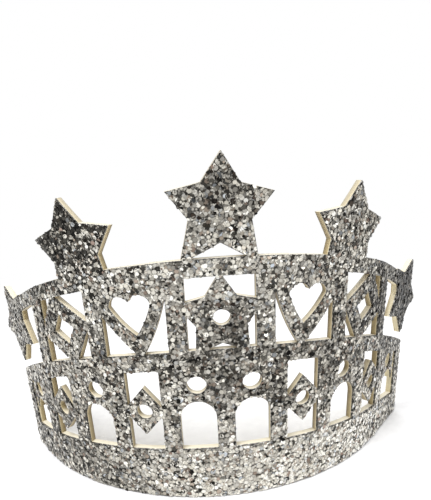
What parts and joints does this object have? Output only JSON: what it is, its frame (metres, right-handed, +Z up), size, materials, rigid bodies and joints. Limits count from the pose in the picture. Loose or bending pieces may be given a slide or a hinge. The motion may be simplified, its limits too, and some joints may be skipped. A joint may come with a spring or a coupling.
{
  "type": "glitter party crown",
  "caption": "Open half-ring party crown die cut from one soft glitter-faced sheet, with stars along its top over two rows of openwork. It stands on its bottom edge.",
  "frame": {"origin": "under the middle of the crown's bounding box, on the plane of its bottom edge", "axes": "+X across the crown from end to end, +Y from the front star towards the open back, +Z up"},
  "size_m": [0.1224, 0.0474, 0.0822],
  "materials": {
    "felt": "matte cream felt, tan at its cut edges",
    "glitter": "chunky silver glitter on a clear binder"
  },
  "bodies": {
    "root": {"backing_sheet": "felt", "glitter_face": "glitter"}
  },
  "joints": []
}
